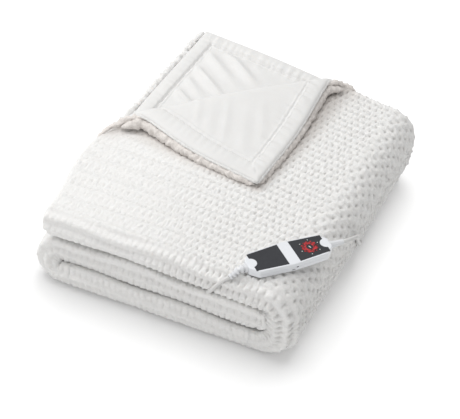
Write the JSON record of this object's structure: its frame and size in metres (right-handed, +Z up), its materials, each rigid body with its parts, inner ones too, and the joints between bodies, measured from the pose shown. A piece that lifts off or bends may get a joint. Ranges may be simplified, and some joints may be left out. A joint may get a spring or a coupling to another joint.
{
  "type": "electric heated blanket",
  "caption": "Folded electric heated blanket with a plush face, a smooth reverse and a turned-back corner, a hand switch on its lead, and a coiled mains lead with a plug.",
  "frame": {"origin": "under the middle of the folded blanket, on the surface it lies on, measured without the lead and what is on it", "axes": "+Z up; +Y from the folded front edge to the free edges at the back; +X to the right, seen from the front"},
  "size_m": [0.4839, 0.6303, 0.177],
  "materials": {
    "plush": "soft plush pile",
    "smooth_cloth": "smooth short nap",
    "white_plastic": "satin",
    "relief_plastic": "matte",
    "dark_inlay": "satin",
    "red_light": "lit",
    "lead_sleeve": "matte",
    "pin_metal": "polished"
  },
  "bodies": {
    "root": {"blanket_face": "plush", "blanket_reverse": "smooth_cloth", "switch_cover": "white_plastic", "switch_base": "white_plastic", "inlay_left": "dark_inlay", "inlay_right": "dark_inlay", "ring_light": "red_light", "switch_button": "dark_inlay", "relief_blanket": "relief_plastic", "relief_mains": "white_plastic", "lead_blanket": "lead_sleeve", "lead_mains": "lead_sleeve", "lead_coil": "lead_sleeve", "lead_plug": "lead_sleeve", "relief_plug": "white_plastic", "plug": "white_plastic", "plug_pin_1": "pin_metal", "plug_pin_2": "pin_metal"}
  },
  "joints": []
}
